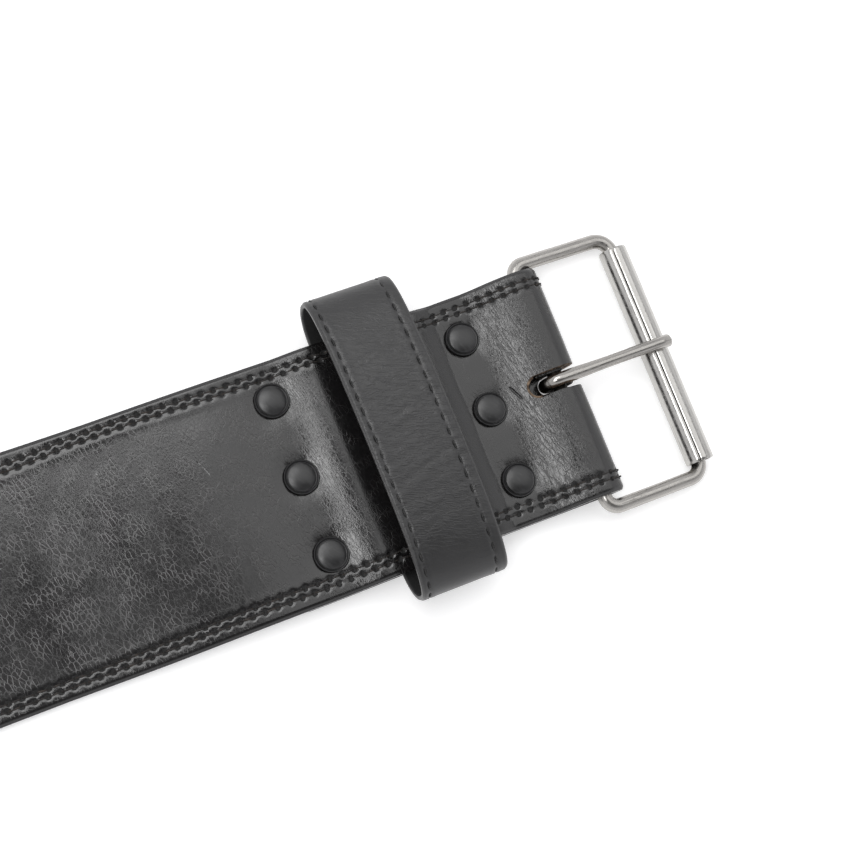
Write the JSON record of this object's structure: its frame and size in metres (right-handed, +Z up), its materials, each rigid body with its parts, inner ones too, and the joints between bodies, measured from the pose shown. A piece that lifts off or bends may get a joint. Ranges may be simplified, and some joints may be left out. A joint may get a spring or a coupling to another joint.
{
  "type": "weightlifting belt",
  "caption": "Wide black leather weightlifting belt laid open, with stitched edges, a riveted fold, a loose leather keeper and a single-prong roller buckle.",
  "frame": {"origin": "on the belt's underside, midway between the two rows of rivets and across the belt, on the surface the belt lies on", "axes": "+X along the belt toward the buckle, +Y across the belt, +Z up from the surface it lies on"},
  "size_m": [1.104, 0.1284, 0.036],
  "materials": {
    "strap_leather": "smooth semi-matt black leather with fine grain and cross creases",
    "keeper_leather": "semi-matt black leather, finely wrinkled",
    "rivet_black": "satin black enamelled caps",
    "buckle_nickel": "dark nickel plate with fine drawn lines and small nicks",
    "roller_nickel": "bright nickel plate on rolled sheet"
  },
  "bodies": {
    "strap": {"belt_strap": "strap_leather", "keeper_loop": "keeper_leather", "rivet_rear_1": "rivet_black", "rivet_rear_2": "rivet_black", "rivet_rear_3": "rivet_black", "rivet_front_1": "rivet_black", "rivet_front_2": "rivet_black", "rivet_front_3": "rivet_black"},
    "frame": {"buckle_frame": "buckle_nickel"},
    "roller": {"buckle_roller": "roller_nickel"},
    "prong": {"buckle_prong": "buckle_nickel"}
  },
  "joints": [
    {"name": "frame_hinge", "type": "hinge", "parent": "strap", "child": "frame", "pos_m": [0.0744, 0, 0.00885], "axis": [0, -1, 0], "range_deg": [0, 50]},
    {"name": "prong_hinge", "type": "hinge", "parent": "frame", "child": "prong", "pos_m": [0.0744, 0, 0.00885], "axis": [0, -1, 0], "range_deg": [0, 72]},
    {"name": "roller_spin", "type": "hinge", "parent": "frame", "child": "roller", "pos_m": [0.12112, -0.0016, 0.0061], "axis": [0, 1, 0], "continuous": true}
  ]
}
